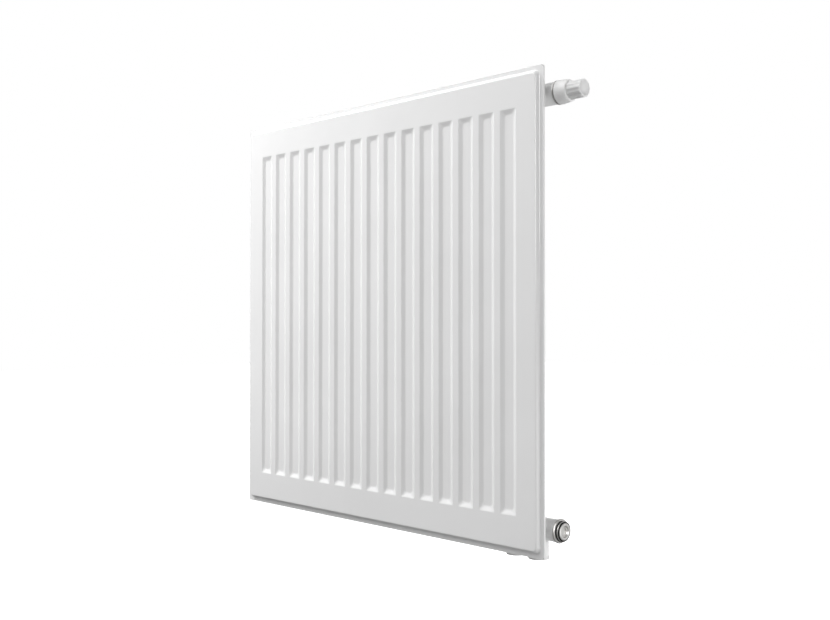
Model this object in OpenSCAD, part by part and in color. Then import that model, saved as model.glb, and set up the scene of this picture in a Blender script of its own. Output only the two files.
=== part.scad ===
// Single-panel steel radiator with a built-in thermostatic valve insert.
// Frame: +X towards the valve side, +Y into the wall, +Z up.
// Origin: centre of the return connection's mouth, the outer of the two bottom stubs.

/* [Panel] */
// Width of the panel over its welded edges
panel_w = 600; // [360:1:1200]
// Height of the panel over its welded edges
panel_h = 600; // [420:1:900]
// Thickness of each pressed steel sheet
sheet_t = 1.2; // [1:0.05:1.4]
// Flat of the welded edge, before the face begins to rise
flange_flat = 6; // [4:0.5:10]
// Corner radius of the welded edge
flange_corner_r = 3.5; // [1:0.5:8]
// How far the front face stands in front of the welded edge
face_depth = 5; // [4:0.1:7]
// How far the step up to the face runs inward
face_run = 3; // [2:0.5:5]
// How far the rear sheet's channels stand behind its welded edge
rear_depth = 4.6; // [3.5:0.1:7]

/* [Pressed grooves] */
// Distance from one groove to the next
groove_pitch = 35.4; // [30:0.1:45]
// Width of a groove at the face
groove_w = 25.3; // [22:0.1:28]
// Depth of a groove
groove_depth = 2.5; // [1.5:0.1:2.7]
// How far a groove's long sides slope inward
groove_run = 5.4; // [3:0.1:7]
// How far a groove's ends slope inward
groove_end_run = 6; // [3:0.1:10]
// Distance from the welded edge to the top and bottom ends of the grooves
groove_end_gap = 48.4; // [45:0.1:80]
// Least distance from the welded edge to the first and last groove
groove_side_gap = 24; // [18:1:50]
// Flat width of each weld valley in the rear sheet, where it meets a groove's floor
valley_floor_w = 8; // [5:0.5:10]
// How far a valley's sides slope outward
valley_run = 4; // [2:0.5:6]
// How much shorter than a groove's floor each valley floor is, at either end
valley_end_gap = 4; // [2:0.5:10]

/* [Bosses and connections] */
// Outer diameter of the four corner bosses
boss_d = 28; // [25:0.5:32]
// Distance of the boss axes behind the front face
boss_back = 27; // [24:0.5:40]
// Distance of the boss axes from the top and bottom welded edges
boss_inset = 33; // [27:0.5:38]
// How far the valve-side bosses reach past the welded edge
boss_reach = 6.2; // [4:0.1:12]
// How far the far-side bosses reach past the welded edge
far_boss_reach = 1.5; // [0.5:0.1:4]
// Minor diameter of the half-inch pipe thread in every connection
thread_bore_d = 18.64; // [18:0.01:19]
// Length of each pipe thread
thread_l = 15; // [12:0.5:18]
// Distance of the corner necks and of the return connection from the side welded edge
connection_inset = 25.4; // [22:0.1:32]
// Distance between the two bottom connections
connection_pitch = 35; // [33:1:60]
// How far the bottom connections reach below the panel
connection_drop = 5; // [3:0.5:15]
// Outer diameter of the bottom connection stubs
stub_d = 24.6; // [23:0.1:26]
// Outer diameter of the lip at a stub's mouth
stub_lip_d = 26.8; // [25:0.1:28]
// Outer diameter of the riser pipe
riser_d = 15; // [12:0.5:16]
// Wall of the riser pipe
riser_wall = 1.5; // [1:0.1:2]
// Outer diameter of the necks between bosses and rear sheet
neck_d = 20; // [16:0.5:24]
// Bore of the necks and of the spacer rings
neck_bore_d = 13; // [10:0.5:14]

/* [Hanging lugs] */
// Width of a hanging lug
lug_w = 30; // [20:1:40]
// Height of the space inside a lug
lug_gap_h = 40; // [25:1:60]
// Thickness of the lug strip
lug_t = 2.5; // [2:0.1:4]
// Distance of the lugs' backs behind the boss axes
lug_back = 17; // [15:0.5:30]
// Distance of the lugs' centres from the top and bottom welded edges
lug_inset = 80; // [72:1:120]
// Width of the hook slot in a lug
lug_slot_w = 12; // [8:1:16]

/* [Valve insert] */
// Clearance on the radius between pieces that turn or slide
running_gap = 0.05; // [0.03:0.01:0.09]
// Diameter of the ring that seats on the boss
valve_ring_d = 29.6; // [29:0.1:31]
// Thickness of that ring
valve_ring_t = 1.4; // [1:0.1:3]
// Diameter of the threaded neck under the cap
valve_neck_d = 22; // [20:0.1:23]
// Diameter of the valve seat's bore
seat_bore_d = 7.2; // [5:0.1:8]
// Diameter of the spindle
spindle_d = 4; // [3:0.1:5]
// Diameter of the pin that leaves the gland
pin_d = 3; // [2:0.1:3.5]
// Lift of the valve when it is fully open
valve_lift = 3; // [2:0.1:3.4]

/* [Protective cap] */
// Gap between the valve ring and the closed cap
cap_gap = 1; // [0.5:0.1:2]
// Diameter of the cap's base at the valve side
cap_base_d = 29.8; // [27:0.1:32]
// Diameter of the cap's base where the grip begins
cap_shoulder_d = 27; // [25:0.1:29]
// Length of the cap's base
cap_base_l = 16.1; // [14:0.1:20]
// Diameter of the grip
grip_d = 22.6; // [21:0.1:24]
// Length of the grip
grip_l = 20.2; // [18:0.1:30]
// Wall of the cap
cap_wall = 1.9; // [1.5:0.1:2.4]
// Number of finger flutes on the grip
flute_count = 12; // [6:1:16]

/* [Plugs] */
// Diameter of the return side plug's collar
plug_collar_d = 30; // [28:0.5:32]
// Thickness of that collar
plug_collar_t = 2.8; // [2:0.1:4]
// Thickness of the round seals on the return side plug
plug_seal_t = 1.9; // [1.5:0.1:2.4]
// Outer diameter of the inner seal on that plug
plug_seal_1_d = 25.6; // [24:0.1:27]
// Outer diameter of the outer seal on that plug
plug_seal_2_d = 24.2; // [22:0.1:25]
// Diameter of the recess in the plug's end
plug_recess_d = 14.3; // [13:0.1:16]
// Width across the flats of every plug's key socket
key_w = 10; // [8:0.5:11]
// Diameter of the collars on the far-side plugs
far_collar_d = 26; // [24:0.5:28]
// Diameter of the bleed screw's shank
bleed_d = 5; // [4:0.1:6]

/* [Hidden] */
$fn = 64;
// A cut runs this far past the face that it leaves
past = 1;

// Outline of the panel
panel_right = connection_inset;
panel_left = panel_right - panel_w;
panel_mid = (panel_left + panel_right) / 2;
panel_bottom = connection_drop;
panel_top = panel_bottom + panel_h;
panel_mid_z = (panel_bottom + panel_top) / 2;

// Depths, front to back
face_y = -boss_back;
face_inner_y = face_y + sheet_t;
groove_floor_y = face_y + groove_depth;
groove_back_y = groove_floor_y + sheet_t;
flange_front_y = face_y + face_depth;
seam_y = flange_front_y + sheet_t;
flange_back_y = seam_y + sheet_t;
rear_y = flange_back_y + rear_depth;
rear_inner_y = rear_y - sheet_t;
valley_floor_y = groove_back_y + sheet_t;

// A wall of even thickness on a slope moves this far sideways
function slope_shift(run, rise) = sheet_t * (sqrt(run * run + rise * rise) - run) / rise;

// Grooves
groove_count = floor((panel_w - 2 * groove_side_gap - groove_w) / groove_pitch) + 1;
groove_l = panel_h - 2 * groove_end_gap;
groove_span = (groove_count - 1) * groove_pitch;
valley_l = groove_l - 2 * groove_end_run - 2 * valley_end_gap;
valley_depth = rear_y - valley_floor_y;
valley_w = valley_floor_w + 2 * valley_run;
function groove_x(i) = panel_mid - groove_span / 2 + i * groove_pitch;

// Bosses
low_z = panel_bottom + boss_inset;
high_z = panel_top - boss_inset;
near_face_x = panel_right + boss_reach;
far_face_x = panel_left - far_boss_reach;
near_neck_x = 0;
far_neck_x = panel_left + connection_inset;
riser_x = -connection_pitch;
thread_r = thread_bore_d / 2;
thread_male_r = thread_r - running_gap;
waterway_r = 7;
blind_wall = 4;
boss_end_gap = 14;
neck_sink = 3;

// Stubs
stub_lip_t = 2;
stub_socket = 6;
stub_l = thread_l + stub_socket + 2;
riser_r = riser_d / 2;
riser_bore_r = riser_r - riser_wall;
riser_foot_z = stub_l - stub_socket;
riser_sink = 5;

// Lugs
lug_foot = 12;
lug_land = 2;
lug_offset = groove_span / 2 - (lug_land + 0.5) * groove_pitch;
lug_slot_h = lug_gap_h - 12;

// Valve insert, along X from the boss face
ring_x = near_face_x + valve_ring_t;
thread_end_x = near_face_x - thread_l;
seat_x = near_neck_x - 9;
nose_l = 10;
nose_r = 5.9;
nose_bore_r = nose_r + running_gap;
nose_bore_x = seat_x - 0.5;
nose_seal_t = 1.6;
nose_seal_x = seat_x - 5;
cage_r = 7.4;
chamber_r = 5.8;
chamber_l = 17;
outlet_chamber_r = 8.6;
window_count = 4;
window_w = 5;
window_l = 10;
guide_l = 4;
spring_room_r = 4.5;
gland_room_r = 6.95;
gland_room_l = 9;
valve_neck_l = 11;
neck_end_x = ring_x + valve_neck_l;
gland_x = neck_end_x - gland_room_l;
gland_head_t = 3;
gland_head_w = 11.5;
guide_x = seat_x + chamber_l;
spring_x = guide_x + guide_l;
spindle_r = spindle_d / 2;
pin_r = pin_d / 2;
collar_t = 1.5;
collar_room = 1;
collar_x = gland_x - valve_lift - collar_room - collar_t;
disc_seal_t = 2;
disc_t = 2;
disc_r = 5.2;
pin_tip_x = neck_end_x + gland_head_t + 6;
gland_seal_t = 1.8;
gland_seal_x = gland_x + 4.5;
spring_wire = 0.9;
spring_turns = 7;
spring_r = spindle_r + running_gap + spring_wire / 2 + 0.35;
ring_seal_t = 1.2;
ring_seal_d = 2 * thread_r + 4.4;

// Cap
cap_x = ring_x + cap_gap;
grip_x = cap_x + cap_base_l;
cap_end_x = grip_x + grip_l;
cap_neck_r = valve_neck_d / 2 + running_gap;
cap_neck_l = neck_end_x - cap_x + 0.5;
cap_shoulder_r = cap_neck_r - 1.2;
grip_inner_r = grip_d / 2 - cap_wall;
hub_r = 6.4;
pad_r = 4;
pad_l = 9;
pad_head_r = 5.6;
pad_head_t = 2.5;
hub_x = pin_tip_x + pad_head_t;
flute_r = 4;
flute_depth = 0.6;
flute_pitch_r = grip_d / 2 - flute_depth + flute_r;

// Return side plug
plug_groove_1_x = near_face_x + plug_collar_t;
plug_rib_x = plug_groove_1_x + plug_seal_t;
plug_rib_t = 1.3;
plug_groove_2_x = plug_rib_x + plug_rib_t;
plug_lip_x = plug_groove_2_x + plug_seal_t;
plug_lip_t = 0.7;
plug_end_x = plug_lip_x + plug_lip_t;
plug_rib_r = plug_seal_1_d / 2 - 0.5;
plug_lip_r = plug_seal_2_d / 2 - 1.1;
plug_recess_l = 2.4;
key_l = 6;

// Far-side plugs
far_collar_t = 2;
far_seal_t = 1.5;
far_seal_d = 2 * thread_r + 3.4;
far_key_l = 8;
vent_stub_r = 5;
vent_stub_l = 6;
vent_outlet_r = 9;
vent_outlet_l = 4.5;
bleed_head_w = 5;
bleed_head_l = 3.5;
bleed_shank_l = 12;
waterway_small_r = 1.2;

// A cylinder along +X from x0 to x1
module bar(x0, x1, r, z = 0) {
    translate([x0, 0, z]) rotate([0, 90, 0]) cylinder(h = x1 - x0, r = r);
}

// A cone along +X
module taper(x0, x1, r0, r1, z = 0) {
    translate([x0, 0, z]) rotate([0, 90, 0]) cylinder(h = x1 - x0, r1 = r0, r2 = r1);
}

// A round seal about the X axis, with outer diameter d and thickness t, centred at x
module round_seal(x, z, d, t) {
    translate([x, 0, z]) rotate([0, 90, 0]) rotate_extrude() translate([(d - t) / 2, 0]) circle(d = t, $fn = 32);
}

// A hexagonal bar along +X
module hex_bar(x0, x1, across, z = 0) {
    translate([x0, 0, z]) rotate([0, 90, 0]) cylinder(h = x1 - x0, d = across / cos(30), $fn = 6);
}

// A slab between two depths, with the panel's outline drawn in by `inset`
module panel_slab(y0, y1, inset, corner_r) {
    w = panel_w - 2 * inset - 2 * corner_r;
    h = panel_h - 2 * inset - 2 * corner_r;
    translate([panel_mid, y1, panel_mid_z]) rotate([90, 0, 0]) linear_extrude(y1 - y0) {
        square([w + 2 * corner_r, h], center = true);
        square([w, h + 2 * corner_r], center = true);
        for (sx = [-1, 1], sz = [-1, 1])
            translate([sx * w / 2, sz * h / 2]) circle(r = corner_r);
    }
}

// A tray with sloped sides: the outline is drawn in by i0 at y0 and by i1 at y1
module tray(y0, y1, i0, i1) {
    intersection() {
        translate([0, 0, panel_bottom]) linear_extrude(panel_h) polygon([
            [panel_left + i0, y0], [panel_right - i0, y0],
            [panel_right - i1, y1], [panel_left + i1, y1]
        ]);
        translate([panel_left, 0, 0]) rotate([90, 0, 90]) linear_extrude(panel_w) polygon([
            [y0, panel_bottom + i0], [y1, panel_bottom + i1],
            [y1, panel_top - i1], [y0, panel_top - i0]
        ]);
    }
}

// A row of trapezoid bars, one on each groove: w0 wide and l0 long at y0, w1 and l1 at y1
module groove_row(y0, y1, w0, w1, l0, l1) {
    intersection() {
        translate([0, 0, panel_bottom]) linear_extrude(panel_h)
            for (i = [0 : groove_count - 1])
                translate([groove_x(i), 0])
                    polygon([[-w0 / 2, y0], [w0 / 2, y0], [w1 / 2, y1], [-w1 / 2, y1]]);
        translate([panel_left, 0, panel_mid_z]) rotate([90, 0, 90]) linear_extrude(panel_w)
            polygon([[y0, -l0 / 2], [y0, l0 / 2], [y1, l1 / 2], [y1, -l1 / 2]]);
    }
}

// Front sheet: a pressed tray with grooves sunk in its face
module front_sheet() {
    shift = slope_shift(face_run, face_depth);
    face_in = flange_flat + face_run;
    groove_shift = 2 * slope_shift(groove_run, groove_depth);
    floor_w = groove_w - 2 * groove_run;
    floor_l = groove_l - 2 * groove_end_run;
    color("white") difference() {
        union() {
            panel_slab(flange_front_y, seam_y, 0, flange_corner_r);
            tray(face_y, flange_front_y, face_in, flange_flat);
        }
        difference() {
            union() {
                tray(face_inner_y, seam_y, face_in + shift, flange_flat + shift);
                tray(seam_y, seam_y + past, flange_flat + shift, flange_flat + shift);
            }
            groove_row(face_y, groove_back_y,
                groove_w + groove_shift + 2 * sheet_t * groove_run / groove_depth, floor_w + groove_shift,
                groove_l + groove_shift + 2 * sheet_t * groove_end_run / groove_depth, floor_l + groove_shift);
        }
        groove_row(face_y, groove_floor_y, groove_w, floor_w, groove_l, floor_l);
    }
}

// Rear sheet: a tray whose valleys are spot-welded to the backs of the grooves
module rear_sheet() {
    shift = slope_shift(face_run, rear_depth);
    rear_in = flange_flat + face_run;
    // The valley wall keeps its thickness on the steep slope
    wall = 2 * slope_shift(valley_run, valley_depth);
    valley_out_w = valley_floor_w + wall;
    // Where the outer slopes of a valley reach the rear sheet's inner face
    shell_rise = rear_y - groove_back_y;
    grow = 2 * valley_run * shell_rise / valley_depth;
    color("gainsboro") difference() {
        union() {
            difference() {
                union() {
                    panel_slab(seam_y, flange_back_y, 0, flange_corner_r);
                    tray(flange_back_y, rear_y, flange_flat, rear_in);
                }
                tray(seam_y - past, seam_y, flange_flat + shift, flange_flat + shift);
                tray(seam_y, rear_inner_y, flange_flat + shift, rear_in + shift);
            }
            groove_row(groove_back_y, rear_y - sheet_t / 2,
                valley_out_w, valley_out_w + grow * (shell_rise - sheet_t / 2) / shell_rise,
                valley_l + wall, valley_l + wall + grow * (shell_rise - sheet_t / 2) / shell_rise);
        }
        groove_row(valley_floor_y, rear_y, valley_floor_w, valley_w, valley_l, valley_l + 2 * valley_run);
        for (x = [near_neck_x, far_neck_x], z = [low_z, high_z])
            translate([x, rear_y + past, z]) rotate([90, 0, 0])
                cylinder(h = sheet_t + 2 * past, d = neck_bore_d);
    }
}

// Spacer ring: keeps the sheets apart at a corner and lets water out through cross holes
module spacer(x, z) {
    color("darkgray") difference() {
        translate([x, rear_inner_y, z]) rotate([90, 0, 0])
            cylinder(h = rear_inner_y - face_inner_y, d = neck_d);
        translate([x, rear_inner_y + past, z]) rotate([90, 0, 0])
            cylinder(h = rear_inner_y - face_inner_y + 2 * past, d = neck_bore_d);
        for (a = [0, 90])
            translate([x, (rear_inner_y + face_inner_y) / 2, z]) rotate([0, a, 0])
                cylinder(h = neck_d + 2 * past, d = (rear_inner_y - face_inner_y) * 0.6, center = true);
    }
}

// Neck that joins a boss to the rear sheet
module neck(x, z) {
    translate([x, -boss_d / 2 + neck_sink, z]) rotate([90, 0, 0])
        cylinder(h = -boss_d / 2 + neck_sink - rear_y, d = neck_d);
}

module neck_bore(x, z) {
    translate([x, 0, z]) rotate([90, 0, 0]) cylinder(h = -rear_y + past, d = neck_bore_d);
}

// Valve boss: takes the insert, the riser from below and the neck to the top header
module valve_boss() {
    z = high_z;
    inlet_x = riser_x - riser_bore_r;
    color("gainsboro") difference() {
        union() {
            bar(inlet_x - blind_wall, near_face_x, boss_d / 2, z);
            neck(near_neck_x, z);
        }
        bar(thread_end_x, near_face_x + past, thread_r, z);
        bar(nose_bore_x, thread_end_x + past, outlet_chamber_r, z);
        bar(inlet_x, nose_bore_x + past, nose_bore_r, z);
        neck_bore(near_neck_x, z);
        translate([riser_x, 0, z - boss_d / 2 - past]) cylinder(h = riser_sink + past, r = riser_r);
        translate([riser_x, 0, z - boss_d / 2]) cylinder(h = boss_d / 2, r = riser_bore_r);
    }
}

// Return boss: the return connection joins it from below, the plug closes its end
module return_boss() {
    z = low_z;
    color("gainsboro") difference() {
        union() {
            bar(near_neck_x - boss_end_gap, near_face_x, boss_d / 2, z);
            neck(near_neck_x, z);
        }
        bar(thread_end_x, near_face_x + past, thread_r, z);
        bar(near_neck_x - boss_end_gap + blind_wall, thread_end_x + past, waterway_r, z);
        neck_bore(near_neck_x, z);
        translate([near_neck_x, 0, z - boss_d]) cylinder(h = boss_d, r = waterway_r);
    }
}

// Far-side boss: a short threaded tube with a neck to its header
module far_boss(z) {
    color("gainsboro") difference() {
        union() {
            bar(far_face_x, far_neck_x + boss_end_gap, boss_d / 2, z);
            neck(far_neck_x, z);
        }
        bar(far_face_x - past, far_face_x + thread_l, thread_r, z);
        bar(far_face_x + thread_l - past, far_neck_x + boss_end_gap - blind_wall, waterway_r, z);
        neck_bore(far_neck_x, z);
    }
}

// Return connection: threaded stub, cut to the round of the boss above it
module return_connector() {
    color("gainsboro") difference() {
        union() {
            cylinder(h = low_z, d = stub_d);
            cylinder(h = stub_lip_t, d = stub_lip_d);
        }
        translate([0, 0, -past]) cylinder(h = thread_l + past, r = thread_r);
        cylinder(h = low_z + past, r = waterway_r);
        bar(-boss_d, boss_d, boss_d / 2, low_z);
        neck(near_neck_x, low_z);
    }
}

// Supply connection: threaded stub that holds the foot of the riser
module supply_connector() {
    color("gainsboro") translate([riser_x, 0, 0]) difference() {
        union() {
            cylinder(h = stub_l, d = stub_d);
            cylinder(h = stub_lip_t, d = stub_lip_d);
            translate([0, 0, stub_l]) cylinder(h = 4, d1 = stub_d, d2 = riser_d + 2);
        }
        translate([0, 0, -past]) cylinder(h = thread_l + past, r = thread_r);
        cylinder(h = stub_l, r = riser_bore_r);
        translate([0, 0, riser_foot_z]) cylinder(h = stub_l, r = riser_r);
    }
}

// Riser: carries the supply water up to the valve boss
module riser_pipe() {
    top = high_z - boss_d / 2 + riser_sink;
    color("gainsboro") translate([riser_x, 0, riser_foot_z]) difference() {
        cylinder(h = top - riser_foot_z, r = riser_r);
        translate([0, 0, -past]) cylinder(h = top - riser_foot_z + 2 * past, r = riser_bore_r);
    }
}

// Hanging lug: a bent strip with two welded feet and a slot for the wall hook
module hanging_lug(side, z) {
    x = panel_mid + side * lug_offset;
    in = lug_gap_h / 2;
    out = in + lug_t;
    color("gainsboro") difference() {
        translate([x - lug_w / 2, 0, z]) rotate([90, 0, 90]) linear_extrude(lug_w) difference() {
            union() {
                translate([rear_y, -out]) square([lug_back - rear_y, 2 * out]);
                translate([rear_y, -out - lug_foot]) square([lug_t, 2 * (out + lug_foot)]);
            }
            translate([rear_y - past, -in]) square([lug_back - rear_y - lug_t + past, 2 * in]);
        }
        translate([x - lug_slot_w / 2, lug_back - lug_t - past, z - lug_slot_h / 2])
            cube([lug_slot_w, lug_t + 2 * past, lug_slot_h]);
    }
}

// Valve body: turned brass, with the seat, the cage windows, the ring and the cap's thread
module valve_body() {
    z = high_z;
    color("silver") difference() {
        union() {
            bar(seat_x - nose_l, seat_x + 1, nose_r, z);
            bar(seat_x, thread_end_x + 1, cage_r, z);
            bar(thread_end_x + 0.5, near_face_x, thread_male_r, z);
            bar(near_face_x, ring_x, valve_ring_d / 2, z);
            bar(ring_x - past, neck_end_x, valve_neck_d / 2, z);
        }
        bar(seat_x - nose_l - past, seat_x + past, seat_bore_d / 2, z);
        bar(seat_x, guide_x, chamber_r, z);
        bar(guide_x - past, spring_x + past, spindle_r + running_gap, z);
        bar(spring_x, gland_x + past, spring_room_r, z);
        bar(gland_x, neck_end_x + past, gland_room_r, z);
        // Groove for the nose seal
        difference() {
            bar(nose_seal_x - nose_seal_t / 2, nose_seal_x + nose_seal_t / 2, nose_r + past, z);
            bar(nose_seal_x - nose_seal_t, nose_seal_x + nose_seal_t, nose_bore_r - nose_seal_t, z);
        }
        // Groove under the ring for its seal
        difference() {
            bar(near_face_x - past, near_face_x + ring_seal_t, ring_seal_d / 2, z);
            bar(near_face_x - 2 * past, near_face_x + 2 * past, ring_seal_d / 2 - ring_seal_t, z);
        }
        for (i = [0 : window_count - 1])
            translate([seat_x + 2, 0, z]) rotate([45 + i * 360 / window_count, 0, 0])
                translate([0, -window_w / 2, 0]) cube([window_l, window_w, cage_r + past]);
    }
}

module valve_nose_seal() {
    color("#222222") round_seal(nose_seal_x, high_z, 2 * nose_bore_r, nose_seal_t);
}

module valve_ring_seal() {
    color("#222222") round_seal(near_face_x + ring_seal_t / 2, high_z, ring_seal_d, ring_seal_t);
}

// Gland nut: closes the neck and guides the pin through its seal
module gland_nut() {
    z = high_z;
    color("goldenrod") difference() {
        union() {
            bar(gland_x, neck_end_x, gland_room_r, z);
            hex_bar(neck_end_x, neck_end_x + gland_head_t, gland_head_w, z);
        }
        bar(gland_x - past, neck_end_x + gland_head_t + past, pin_r + running_gap, z);
        bar(gland_seal_x - gland_seal_t / 2, gland_seal_x + gland_seal_t / 2, gland_seal_r(), z);
    }
}

// Outer radius of the pin's seal: it fills its pocket and clears the pin
function gland_seal_r() = pin_r + running_gap + gland_seal_t;

module gland_seal() {
    color("#222222") round_seal(gland_seal_x, high_z, 2 * gland_seal_r(), gland_seal_t);
}

// Spindle: carries the disc, the spring collar and the pin that the cap pushes
module valve_spindle() {
    z = high_z;
    color("silver") union() {
        bar(seat_x + disc_seal_t, collar_x + collar_t, spindle_r, z);
        bar(collar_x, collar_x + collar_t, spring_r + spring_wire / 2 + 0.3, z);
        bar(collar_x + collar_t, pin_tip_x, pin_r, z);
    }
}

module valve_disc() {
    z = high_z;
    color("goldenrod") difference() {
        bar(seat_x + disc_seal_t, seat_x + disc_seal_t + disc_t, disc_r, z);
        bar(seat_x, seat_x + disc_seal_t + disc_t + past, spindle_r, z);
    }
}

module valve_disc_seal() {
    color("#222222") bar(seat_x, seat_x + disc_seal_t, disc_r - 0.2, high_z);
}

// Spring: a coil swept along its helix, pushing the spindle open
function coil_point(u) = [
    spring_x + spring_wire / 2 + 0.02 + u * (collar_x - spring_x - spring_wire - 0.04),
    spring_r * cos(360 * spring_turns * u),
    spring_r * sin(360 * spring_turns * u)
];

module valve_spring() {
    steps = 14 * spring_turns;
    sides = 6;
    points = [for (k = [0 : steps], s = [0 : sides - 1])
        let (u = k / steps, a = 360 * spring_turns * u, c = coil_point(u), w = 360 * s / sides)
        [c[0] + spring_wire / 2 * cos(w), c[1] + spring_wire / 2 * sin(w) * cos(a),
            c[2] + spring_wire / 2 * sin(w) * sin(a)]];
    sides_faces = [for (k = [0 : steps - 1], s = [0 : sides - 1])
        let (t = (s + 1) % sides)
        [k * sides + s, (k + 1) * sides + s, (k + 1) * sides + t, k * sides + t]];
    start_face = [for (s = [0 : sides - 1]) s];
    end_face = [for (s = [0 : sides - 1]) steps * sides + sides - 1 - s];
    color("silver") translate([0, 0, high_z])
        polyhedron(points = points, faces = concat([start_face], sides_faces, [end_face]));
}

// Thrust pad: sits in the cap's hub and pushes the pin without turning
module cap_thrust_pad() {
    color("goldenrod") union() {
        bar(pin_tip_x, hub_x, pad_head_r, high_z);
        bar(hub_x, hub_x + pad_l, pad_r, high_z);
    }
}

// Outline of the grip: a round with finger flutes cut along it
module grip_outline() {
    difference() {
        circle(d = grip_d);
        for (i = [0 : flute_count - 1])
            rotate(360 * i / flute_count) translate([flute_pitch_r, 0]) circle(r = flute_r);
    }
}

// Cap: a moulded shell that screws on the valve's neck, with a fluted grip
module valve_cap() {
    z = high_z;
    color("white") difference() {
        union() {
            taper(cap_x, grip_x, cap_base_d / 2, cap_shoulder_d / 2, z);
            translate([grip_x - past, 0, z]) rotate([0, 90, 0]) linear_extrude(grip_l + past) grip_outline();
        }
        bar(cap_x - past, cap_x + cap_neck_l, cap_neck_r, z);
        bar(cap_x, grip_x - cap_wall, cap_shoulder_r, z);
        bar(cap_x, hub_x, grip_inner_r, z);
        difference() {
            bar(hub_x - past, cap_end_x - cap_wall, grip_inner_r, z);
            bar(hub_x - 2 * past, cap_end_x, hub_r, z);
        }
        bar(hub_x - past, hub_x + pad_l, pad_r + running_gap, z);
    }
}

// Return side plug: turned and nickelled, with two seals on its outer end
module return_plug() {
    z = low_z;
    color("silver") difference() {
        union() {
            bar(thread_end_x + 1, near_face_x, thread_male_r, z);
            bar(near_face_x, plug_groove_1_x, plug_collar_d / 2, z);
            bar(plug_groove_1_x - past, plug_rib_x + past, plug_seal_1_d / 2 - plug_seal_t, z);
            bar(plug_rib_x, plug_groove_2_x, plug_rib_r, z);
            bar(plug_groove_2_x - past, plug_end_x, plug_seal_2_d / 2 - plug_seal_t, z);
            taper(plug_lip_x, plug_end_x, plug_lip_r, plug_lip_r - plug_lip_t, z);
        }
        taper(plug_end_x - plug_recess_l, plug_end_x + 0.01, plug_recess_d / 2 - 0.8, plug_recess_d / 2, z);
        hex_bar(plug_end_x - plug_recess_l - key_l, plug_end_x, key_w, z);
        bar(thread_end_x, near_face_x - 4, waterway_r, z);
    }
}

module return_plug_inner_seal() {
    color("#222222") round_seal(plug_groove_1_x + plug_seal_t / 2, low_z, plug_seal_1_d, plug_seal_t);
}

module return_plug_outer_seal() {
    color("#222222") round_seal(plug_groove_2_x + plug_seal_t / 2, low_z, plug_seal_2_d, plug_seal_t);
}

// Body of a far-side plug: thread, collar and a groove for the seal under the collar
module far_plug_body(z) {
    difference() {
        union() {
            bar(far_face_x, far_face_x + thread_l - 1, thread_male_r, z);
            bar(far_face_x - far_collar_t, far_face_x, far_collar_d / 2, z);
        }
        difference() {
            bar(far_face_x - far_seal_t, far_face_x + past, far_seal_d / 2, z);
            bar(far_face_x - 2 * past, far_face_x + 2 * past, far_seal_d / 2 - far_seal_t, z);
        }
    }
}

module far_plug_seal(z) {
    color("#222222") round_seal(far_face_x - far_seal_t / 2, z, far_seal_d, far_seal_t);
}

// Blank plug: closes the far bottom boss
module blank_plug() {
    color("silver") difference() {
        far_plug_body(low_z);
        hex_bar(far_face_x - far_collar_t - past, far_face_x + far_key_l, key_w, low_z);
    }
}

// Vent plug: closes the far top boss and holds the bleed screw and its swivel outlet
module vent_plug() {
    z = high_z;
    stub_x = far_face_x - far_collar_t - vent_stub_l;
    color("silver") difference() {
        union() {
            far_plug_body(z);
            bar(stub_x, far_face_x, vent_stub_r, z);
        }
        bar(stub_x - past, stub_x + bleed_shank_l, bleed_d / 2 + running_gap, z);
        bar(stub_x, far_face_x + thread_l, waterway_small_r, z);
        // Cross hole from the bleed screw out to the swivel outlet
        translate([far_face_x - far_collar_t - vent_outlet_l / 2, 0, z])
            cylinder(h = vent_stub_r + past, r = waterway_small_r);
    }
}

// Bleed screw: square head, shank in the vent plug
module bleed_screw() {
    z = high_z;
    stub_x = far_face_x - far_collar_t - vent_stub_l;
    color("silver") difference() {
        union() {
            bar(stub_x, stub_x + bleed_shank_l, bleed_d / 2, z);
            translate([stub_x - bleed_head_l, -bleed_head_w / 2, z - bleed_head_w / 2])
                cube([bleed_head_l, bleed_head_w, bleed_head_w]);
        }
        // Relief groove that passes the air when the screw is loosened
        translate([far_face_x - far_collar_t - vent_outlet_l / 2, 0, z])
            difference() {
                bar(-waterway_small_r, waterway_small_r, bleed_d, 0);
                bar(-2 * waterway_small_r, 2 * waterway_small_r, bleed_d / 2 - 0.6, 0);
            }
    }
}

// Swivel outlet: a moulded ring that turns on the vent plug and aims the water
module vent_outlet() {
    z = high_z;
    x1 = far_face_x - far_collar_t;
    color("white") difference() {
        union() {
            bar(x1 - vent_outlet_l, x1 - 0.05, vent_outlet_r, z);
            translate([x1 - vent_outlet_l / 2, 0, z - vent_outlet_r - 2])
                cylinder(h = 4, r = vent_outlet_l / 2 - 0.3);
        }
        bar(x1 - vent_outlet_l - past, x1 + past, vent_stub_r + running_gap, z);
        translate([x1 - vent_outlet_l / 2, 0, z - vent_outlet_r - 2 - past])
            cylinder(h = vent_outlet_r, r = waterway_small_r);
    }
}

front_sheet();
rear_sheet();
spacer(near_neck_x, high_z);  // spacer_valve_corner
spacer(near_neck_x, low_z);  // spacer_return_corner
spacer(far_neck_x, high_z);  // spacer_vent_corner
spacer(far_neck_x, low_z);  // spacer_blank_corner
valve_boss();
return_boss();
far_boss(high_z);  // vent_boss
far_boss(low_z);  // blank_boss
return_connector();
supply_connector();
riser_pipe();
hanging_lug(1, panel_top - lug_inset);  // lug_top_right
hanging_lug(-1, panel_top - lug_inset);  // lug_top_left
hanging_lug(1, panel_bottom + lug_inset);  // lug_bottom_right
hanging_lug(-1, panel_bottom + lug_inset);  // lug_bottom_left
valve_body();
valve_nose_seal();
valve_ring_seal();
gland_nut();
gland_seal();
valve_spindle();
valve_disc();
valve_disc_seal();
valve_spring();
cap_thrust_pad();
valve_cap();
return_plug();
return_plug_inner_seal();
return_plug_outer_seal();
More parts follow.
